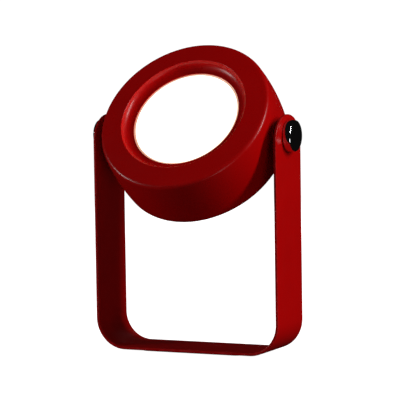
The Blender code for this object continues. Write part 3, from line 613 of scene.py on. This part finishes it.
def make_strap_stand():
    """A flat strap with arched ends, bent into the U, and bored through both arms."""
    outside = STRAP_HIGH[0]
    arm = PIVOT[2] - STRAP_LOW[2] - BEND_RADIUS
    full_run = 2 * arm + BEND_RADIUS * math.pi + 2 * (outside - BEND_RADIUS)
    straight_run = full_run + 2 * (STRAP_HIGH[2] - PIVOT[2] - ARM_END_ARCH)
    outline, outward, spine = capsule(straight_run / 2, STRAP_HIGH[1], ARM_END_ARCH, STRAP_STEP, 72)
    section = edge_section(STRAP_THICKNESS, STRAP_EDGE_ROUND)
    flat = slab(outline, outward, spine, section)
    points = bent_strap(flat[..., 0] + full_run / 2, flat[..., 1], flat[..., 2])
    inset = np.array([row[1] if row[0] == 0 else STRAP_EDGE_ROUND for row in section])
    edge = np.broadcast_to(1 - inset / STRAP_EDGE_ROUND, points.shape[:2])
    strap = skin("strap_stand", points, outline[:, 0], edge)
    reach = STRAP_HIGH[0] + 2 * LEAD
    bore = np.array([(0, reach), (ARM_HOLE_RADIUS, reach), (ARM_HOLE_RADIUS, -reach), (0, -reach)])
    cut(strap, turned_piece("arm_bore", bore, RIGHT_PIVOT, 48))
    fit_out(strap, "stand", "red_bracket", "bracket")


def make_foot_pad():
    """A thin pad whose outline is four quarter circles joined by straight runs."""
    half_length = PAD_HIGH[0] - PAD_CORNER
    corner = np.linspace(0, math.pi / 2, 10)
    quarter = np.stack([np.cos(corner), np.sin(corner)], axis=1)
    turns = [np.array([[1, 0], [0, 1]]), np.array([[0, 1], [-1, 0]])]
    turns += [-turns[0], -turns[1]]
    signs = ((1, 1), (-1, 1), (-1, -1), (1, -1))
    middle = np.array([half_length, PAD_HIGH[1] - PAD_CORNER])
    outward = np.concatenate([quarter @ turn for turn in turns])
    centres = np.repeat([middle * sign for sign in signs], len(corner), axis=0)
    outline = centres + outward * PAD_CORNER
    outline = np.concatenate([outline, outline[:1]])
    outward = np.concatenate([outward, outward[:1]])
    spine = np.stack([np.clip(outline[:, 0], -half_length, half_length), 0 * outline[:, 0]], axis=1)
    thickness = PAD_HIGH[2] - PAD_LOW[2]
    points = slab(outline, outward, spine, edge_section(thickness, PAD_EDGE_ROUND, 4))
    points[..., 2] += PAD_LOW[2]
    fit_out(skin("foot_pad", points, outline[:, 0]), "stand", "rubber", "base_pad")


# ---------------------------------------------------------------- head


def drum_radius(height):
    """Barrelled side: the full radius less the square of the distance from the fullest place."""
    return DRUM_RADIUS - (height - DRUM_FULLEST) ** 2 / (2 * BARREL_RADIUS)


def elliptical(centre, radii, start, end, steps):
    """Points on an ellipse in (radius, height), from start to end in degrees."""
    angle = np.radians(np.linspace(start, end, steps))
    return np.stack([centre[0] + radii[0] * np.cos(angle), centre[1] + radii[1] * np.sin(angle)], axis=1)


def drum_outline():
    """Recess, lip, front ring, rounded front edge, barrelled side, back edge and the inner wall."""
    cove = (LIP_RADIUS - LENS_OPENING, LIP_FRONT - LIP_ROUND - LENS_EDGE)
    recess = elliptical((LENS_OPENING, LIP_FRONT - LIP_ROUND), cove, -90, 0, 32)
    lip_centre = (LIP_RADIUS + LIP_ROUND, LIP_FRONT - LIP_ROUND)
    lip = elliptical(lip_centre, (LIP_ROUND, LIP_ROUND), 170, 84, 8)
    side_front = FRONT_EDGE - FRONT_EDGE_ROUND
    side_back = DRUM_BACK + BACK_EDGE_ROUND
    front_centre = (drum_radius(side_front) - FRONT_EDGE_ROUND, side_front)
    front_edge = elliptical(front_centre, (FRONT_EDGE_ROUND, FRONT_EDGE_ROUND), 82, 6, 14)
    side = np.linspace(side_front, side_back, 90)
    barrel = np.stack([drum_radius(side), side], axis=1)
    back_centre = (drum_radius(side_back) - BACK_EDGE_ROUND, side_back)
    back_edge = elliptical(back_centre, (BACK_EDGE_ROUND, BACK_EDGE_ROUND), -6, -90, 9)
    mouth = COVER_RADIUS + GAP
    inside_front = FRONT_EDGE - FRONT_WALL
    inner = np.linspace(SEAL_LEDGE_FRONT, inside_front - WALL, 9)
    inner_wall = np.stack([drum_radius(inner) - WALL, inner], axis=1)
    mouth_and_ledge = [
        (mouth, DRUM_BACK), (mouth, SEAL_LEDGE_BACK), (SEAL_LEDGE_BORE, SEAL_LEDGE_BACK),
        (SEAL_LEDGE_BORE, SEAL_LEDGE_FRONT),
    ]
    collar = [
        (inner_wall[-1, 0] - WALL, inside_front), (COLLAR_OUTSIDE, inside_front),
        (COLLAR_OUTSIDE, COLLAR_BACK), (COLLAR_BORE, COLLAR_BACK),
        (COLLAR_BORE, SEAT), (LENS_OPENING, SEAT), (LENS_OPENING, LENS_EDGE),
    ]
    return np.concatenate([recess, lip, front_edge, barrel, back_edge, mouth_and_ledge, inner_wall, collar])


def make_drum():
    """The turned drum, with its side lifted to a flat boss within the boss radius of the tilt axis."""
    outline = refined(drum_outline(), DRUM_STEP)
    angles = angles_round(240, (0.0, math.pi), BOSS_REACH, 81)
    points = turned(outline, angles)
    radial = np.hypot(points[..., 1], points[..., 2])
    t = np.clip((BOSS_RADIUS + BOSS_BLEND - radial) / BOSS_BLEND, 0, 1)
    outer = (outline[:, 0] >= drum_radius(outline[:, 1]) - SKIN_DEPTH)[None, :]
    lift = t * t * (3 - 2 * t) * outer * (np.abs(points[..., 0]) > BOSS_END / 2)
    points[..., 0] += (np.sign(points[..., 0]) * BOSS_END - points[..., 0]) * lift
    edge = np.broadcast_to(cornering(outline), points.shape[:2])
    drum = skin("drum_casing", placed(points, HEAD), angles * DRUM_RADIUS, edge)
    fit_out(drum, "head", "red_casing", "front_casing")


def screw_places():
    """One place for each cover screw, on a circle round the lens axis."""
    places = []
    for quarter in range(4):
        angle = math.radians(45 + 90 * quarter)
        offset = SCREW_CIRCLE * (math.cos(angle) * ACROSS + math.sin(angle) * UP_THE_FACE)
        places.append((PIVOT + offset, ACROSS, UP_THE_FACE, LENS_AXIS))
    return places


def down_the_face(distance):
    """The head's own place, moved along the face."""
    return (PIVOT + distance * UP_THE_FACE, ACROSS, UP_THE_FACE, LENS_AXIS)


def flared_bore(radius, flare, surface, floor):
    """Outline of a cutter: a bore whose mouth opens out by the flare."""
    low = surface - LEAD
    return np.array([(0, low), (radius + flare, low), (radius + flare, surface), (radius, surface + flare),
                     (radius, floor), (0, floor)])


def make_rear_cover():
    """Turned shallow dome with a rounded button hole; then screw counterbores, socket slot and light hole."""
    radii = (COVER_RADIUS - COVER_FLAT_RADIUS, COVER_RIM - COVER_BACK)
    centre = (COVER_FLAT_RADIUS, COVER_RIM)
    dome = elliptical(centre, radii, 0, -90, 40)
    hole_centre = (BUTTON_HOLE + BUTTON_HOLE_ROUND, COVER_BACK + BUTTON_HOLE_ROUND)
    hole = elliptical(hole_centre, (BUTTON_HOLE_ROUND, BUTTON_HOLE_ROUND), -90, -180, 8)
    inner_dome = elliptical(centre, (radii[0] - WALL, radii[1] - WALL), -90, 0, 12)
    outline = np.concatenate([
        [(COVER_RADIUS - WALL, COVER_SPIGOT_FRONT), (COVER_RADIUS, COVER_SPIGOT_FRONT)],
        dome, hole, [(BUTTON_HOLE, COVER_BACK + WALL)], inner_dome,
        [(COVER_RADIUS - WALL, COVER_SPIGOT_FRONT)],
    ])
    cover = turned_piece("rear_cover_shell", refined(outline, COVER_STEP), HEAD, 240)
    surface = COVER_BACK + COUNTERBORE_SINK
    counterbore = flared_bore(COUNTERBORE_RADIUS, COUNTERBORE_FLARE, surface, COUNTERBORE_FLOOR)
    for place in screw_places():
        cut(cover, turned_piece("counterbore", counterbore, place, 48))
    floor = COVER_BACK + LIGHT_HOLE_DEPTH
    light_hole = flared_bore(LIGHT_PIPE_HOLE, LIGHT_HOLE_FLARE, COVER_BACK - CLEAR, floor)
    cut(cover, turned_piece("light_hole", light_hole, down_the_face(LIGHT_PIPE_CENTRE), 32))
    half_width = USB_SLOT[1] / 2
    outline, outward, spine = capsule(USB_SLOT[0] / 2 - half_width, half_width, half_width, SLOT_STEP, 24)
    flare = USB_SLOT_FLARE
    section = [(1, -flare, -LEAD), (0, -flare, -LEAD), (0, -flare, 0), (0, 0, flare),
               (0, 0, USB_SLOT_DEPTH), (1, 0, USB_SLOT_DEPTH)]
    slot = slab(outline, outward, spine, section)
    slot[..., 2] += COVER_BACK - CLEAR
    slot_cutter = skin("slot_cutter", placed(slot, down_the_face(USB_CENTRE)), outline[:, 0])
    cut(cover, slot_cutter)
    fit_out(cover, "head", "red_casing", "rear_cover")


def make_cover_screws():
    """Pan heads with a six-sided socket.

    The socket's radius is its flat's distance over the cosine of the angle from the nearest
    flat's middle.
    """
    back = COUNTERBORE_FLOOR - GAP - SCREW_HEAD_DEPTH
    seat, tip = back + SCREW_HEAD_DEPTH, back + SCREW_LENGTH
    crown_centre = (SCREW_HEAD_RADIUS - SCREW_HEAD_ROUND, back + SCREW_HEAD_ROUND)
    crown = elliptical(crown_centre, (SCREW_HEAD_ROUND, SCREW_HEAD_ROUND), -90, 0, 8)
    socket = [
        (0, back + SOCKET_DEPTH), (SOCKET_FLAT, back + SOCKET_DEPTH),
        (SOCKET_FLAT, back + SOCKET_MOUTH), (SOCKET_FLAT * SOCKET_MOUTH_SHARE, back),
    ]
    shank = [
        (SCREW_HEAD_RADIUS, seat), (SCREW_SHANK_RADIUS, seat),
        (SCREW_SHANK_RADIUS, tip - SCREW_POINT), (0, tip),
    ]
    outline = np.concatenate([socket, crown, shank])
    angles = angles_round(72)
    sixth = math.pi / 3
    from_flat = (angles + sixth / 2) % sixth - sixth / 2
    points = turned(outline, angles)
    points[:, 1:len(socket), :2] /= np.cos(from_flat)[:, None, None]
    edge = np.broadcast_to(cornering(outline), points.shape[:2])
    for number, place in enumerate(screw_places(), 1):
        screw = skin(f"cover_screw_head_{number}", placed(points, place), angles * SCREW_HEAD_RADIUS, edge)
        fit_out(screw, "head", "steel", f"cover_screw_{number}")


def make_lens():
    """Opal disc: its face is crowned by a little times one less the square of the radius share."""
    share = np.linspace(0, 1, 40)
    radius = share * (LENS_RADIUS - LENS_ROUND)
    face = np.stack([radius, LENS_FACE - LENS_CROWN * share**2], axis=1)
    shoulder_centre = (LENS_RADIUS - LENS_ROUND, LENS_FACE - LENS_CROWN - LENS_ROUND)
    shoulder = elliptical(shoulder_centre, (LENS_ROUND, LENS_ROUND), 80, 0, 6)
    rim = [(LENS_RADIUS, LENS_RIM_FRONT), (LENS_RIM_RADIUS, LENS_RIM_FRONT),
           (LENS_RIM_RADIUS, LENS_RIM_BACK), (0, LENS_RIM_BACK)]
    lens = turned_piece("opal_lens", np.concatenate([face, shoulder, rim]), HEAD, 144)
    lens.visible_glossy = False
    fit_out(lens, "head", "opal", "diffuser")


def make_button():
    """Push button: flange, rounded shoulder, and a shallow dished face."""
    face = np.linspace(1, 0, 16)
    flat = BUTTON_RADIUS - BUTTON_ROUND
    dish = np.stack([face * flat, BUTTON_BACK + BUTTON_DISH * (1 - face**2)], axis=1)
    shoulder = elliptical((flat, BUTTON_BACK + BUTTON_ROUND), (BUTTON_ROUND, BUTTON_ROUND), 0, -84, 9)
    flange = [
        (0, BUTTON_FLANGE_FRONT), (BUTTON_FLANGE_RADIUS, BUTTON_FLANGE_FRONT),
        (BUTTON_FLANGE_RADIUS, BUTTON_FLANGE_BACK), (BUTTON_RADIUS, BUTTON_FLANGE_BACK),
    ]
    button = turned_piece("push_button", np.concatenate([flange, shoulder, dish]), HEAD, 96)
    fit_out(button, "button", "button_grey", "power_button")


def make_light_pipe():
    """A clear rod with a low dome where it shows."""
    back = COVER_BACK - LIGHT_PIPE_PROUD
    dome = elliptical((0, back + LIGHT_PIPE_DOME), (LIGHT_PIPE_RADIUS, LIGHT_PIPE_DOME), -90, 0, 10)
    outline = np.concatenate([dome, [(LIGHT_PIPE_RADIUS, LIGHT_PIPE_FRONT), (0, LIGHT_PIPE_FRONT)]])
    pipe = turned_piece("light_pipe", outline, down_the_face(LIGHT_PIPE_CENTRE), 32)
    fit_out(pipe, "head", "clear_pipe", "charge_light_pipe")


def make_usb_shell():
    """The socket's metal shell: a capsule-shaped sleeve with rounded lips and a blind back."""
    half_width = USB_SHELL[1] / 2
    outline, outward, spine = capsule(USB_SHELL[0] / 2 - half_width, half_width, half_width, SLOT_STEP, 24)
    wall, lip = USB_SHELL_WALL, USB_SHELL_LIP
    section = [(1, wall, USB_SHELL_MOUTH), (0, wall, USB_SHELL_MOUTH), (0, wall, lip), (0, 0.75 * wall, 0),
               (0, 0.25 * wall, 0), (0, 0, lip), (0, 0, USB_SHELL_LENGTH), (1, 0, USB_SHELL_LENGTH)]
    sleeve = slab(outline, outward, spine, section)
    sleeve[..., 2] += USB_BACK
    shell = skin("usb_shell", placed(sleeve, down_the_face(USB_CENTRE)), outline[:, 0])
    fit_out(shell, "head", "steel", "usb_socket")


# ---------------------------------------------------------------- pivot fittings


def make_pivot_fittings():
    """Chromed cap, friction washer and flanged bush at each side."""
    dome = elliptical((0, CAP_SHOULDER), (CAP_SHOULDER_RADIUS, CAP_CROWN - CAP_SHOULDER), 90, 12, 30)
    lost, height = CAP_FOOT
    side = rounded([
        (*CAP_EDGE_APPROACH, 0), (*CAP_EDGE, CAP_EDGE_ROUND),
        (CAP_RADIUS, CAP_RIM + height, CAP_FOOT_ROUND), (CAP_RADIUS - lost, CAP_RIM, CAP_RIM_ROUND),
        (CAP_POCKET_RADIUS, CAP_RIM, CAP_RIM_ROUND), (CAP_POCKET_RADIUS, CAP_POCKET_FLOOR, 0),
        (0, CAP_POCKET_FLOOR, 0),
    ])
    cap = np.concatenate([dome, side[1:]])
    inner, outer = FRICTION_RING
    washer = rounded([
        (STUD_BORE, outer, 0), (FLANGE_RADIUS, outer, RING_ROUND), (FLANGE_RADIUS, inner, RING_ROUND),
        (STUD_BORE, inner, 0), (STUD_BORE, outer, 0),
    ])
    inner, outer = BUSH_FLANGE
    bush = rounded([
        (STUD_BORE, BUSH_END, 0), (BUSH_RADIUS, BUSH_END, RING_ROUND), (BUSH_RADIUS, outer, 0),
        (FLANGE_RADIUS, outer, BUSH_FLANGE_ROUND), (FLANGE_RADIUS, inner, BUSH_FLANGE_ROUND),
        (STUD_BORE, inner, 0), (STUD_BORE, BUSH_END, 0),
    ])
    for side, place in SIDES:
        fit_out(turned_piece(f"knob_cap_{side}", cap, place, 120), "head", "chrome", f"pivot_cap_{side}")
        washer_piece = turned_piece(f"friction_ring_{side}", washer, place, 72)
        fit_out(washer_piece, "head", "black_plastic", f"friction_washer_{side}")
        bush_piece = turned_piece(f"bush_flange_{side}", bush, place, 72)
        fit_out(bush_piece, "stand", "black_plastic", f"pivot_bush_{side}")


# ---------------------------------------------------------------- camera, studio


def aim_camera():
    """A long lens a little to the right of the front and just above, with a slight roll."""
    azimuth, elevation, roll = (math.radians(a) for a in CAMERA_TURNS)
    target = np.array(CAMERA_TARGET)
    back = np.array([
        math.sin(azimuth) * math.cos(elevation),
        -math.cos(azimuth) * math.cos(elevation),
        math.sin(elevation),
    ])
    right = np.array([math.cos(azimuth), math.sin(azimuth), 0])
    up = np.cross(back, right)
    rolled_right = right * math.cos(roll) + up * math.sin(roll)
    rolled_up = up * math.cos(roll) - right * math.sin(roll)
    camera = bpy.data.cameras.new("camera")
    camera.lens = CAMERA_LENS
    camera.sensor_width = CAMERA_SENSOR
    camera.clip_start = CAMERA_NEAREST
    holder = bpy.data.objects.new("camera", camera)
    matrix = Matrix.Identity(4)
    place = target + back * CAMERA_DISTANCE
    for column, values in enumerate((rolled_right, rolled_up, back, place)):
        for row in range(3):
            matrix[row][column] = values[row]
    holder.matrix_world = matrix
    bpy.context.scene.collection.objects.link(holder)
    bpy.context.scene.camera = holder


def soft_light(name, azimuth, elevation, size, power):
    """A soft box looking at the middle of the object. Azimuth 0 is in front, 90 on the right."""
    a, e = math.radians(azimuth), math.radians(elevation)
    direction = np.array([math.sin(a) * math.cos(e), -math.cos(a) * math.cos(e), math.sin(e)])
    light = bpy.data.lights.new(name, "AREA")
    light.shape = "RECTANGLE"
    light.size, light.size_y = size
    light.energy = power
    lamp = bpy.data.objects.new(name, light)
    lamp.location = np.array(LIT_MIDDLE) + direction * LIGHT_DISTANCE
    lamp.rotation_mode = "QUATERNION"
    lamp.rotation_quaternion = Vector(direction).to_track_quat("Z", "Y")
    bpy.context.scene.collection.objects.link(lamp)
    return lamp


def build_studio():
    """White surroundings that light the object only a little, a pale floor, and soft boxes."""
    world = bpy.data.worlds.new("studio")
    world.use_nodes = True
    bpy.context.scene.world = world
    nodes, links = world.node_tree.nodes, world.node_tree.links
    seen = nodes["Background"]
    seen.inputs["Color"].default_value = (1, 1, 1, 1)
    seen.inputs["Strength"].default_value = SEEN_WHITE
    fill = nodes.new("ShaderNodeBackground")
    fill.inputs["Color"].default_value = (1, 1, 1, 1)
    path = nodes.new("ShaderNodeLightPath")
    level = nodes.new("ShaderNodeMapRange")
    level.inputs["To Min"].default_value, level.inputs["To Max"].default_value = FILL
    links.new(path.outputs["Is Diffuse Ray"], level.inputs["Value"])
    links.new(level.outputs["Result"], fill.inputs["Strength"])
    mix = nodes.new("ShaderNodeMixShader")
    links.new(path.outputs["Is Camera Ray"], mix.inputs["Fac"])
    links.new(fill.outputs["Background"], mix.inputs[1])
    links.new(seen.outputs["Background"], mix.inputs[2])
    links.new(mix.outputs["Shader"], nodes["World Output"].inputs["Surface"])
    floor_mesh = bpy.data.meshes.new("studio_floor")
    reach = FLOOR_REACH
    corners = [(-reach, -reach, 0), (reach, -reach, 0), (reach, reach, 0), (-reach, reach, 0)]
    floor_mesh.from_pydata(corners, [], [(0, 1, 2, 3)])
    floor = bpy.data.objects.new("studio_floor", floor_mesh)
    bpy.context.scene.collection.objects.link(floor)
    pale = grainy_finish("pale_floor", ((0.8, 0.8, 0.8), (0.78, 0.78, 0.78)), (0.8, 0.9), patch=0.3)
    shader = pale.node_tree.nodes["Principled BSDF"]
    shader.inputs["Emission Color"].default_value = (1, 1, 1, 1)
    shader.inputs["Emission Strength"].default_value = FLOOR_GLOW
    shader.inputs["Specular IOR Level"].default_value = 0.0
    floor_mesh.materials.append(pale)
    floor.visible_diffuse = False
    floor.visible_glossy = False
    floor.visible_shadow = False
    soft_light("right_strip", 92, 27, (0.12, 0.6), 7.5)
    soft_light("left_box", -60, 10, (0.22, 0.3), 3.4)
    soft_light("right_below", 50, -25, (0.35, 0.35), 0.95)
    rear = soft_light("rear_box", 190, 12, (0.4, 0.4), 2.2)
    rear.visible_glossy = False


aim_camera()
build_studio()
finish_inner_pieces()
make_strap_stand()
make_foot_pad()
make_drum()
make_rear_cover()
make_cover_screws()
make_lens()
make_button()
make_light_pipe()
make_usb_shell()
make_pivot_fittings()
bpy.context.scene.view_settings.view_transform = "Standard"
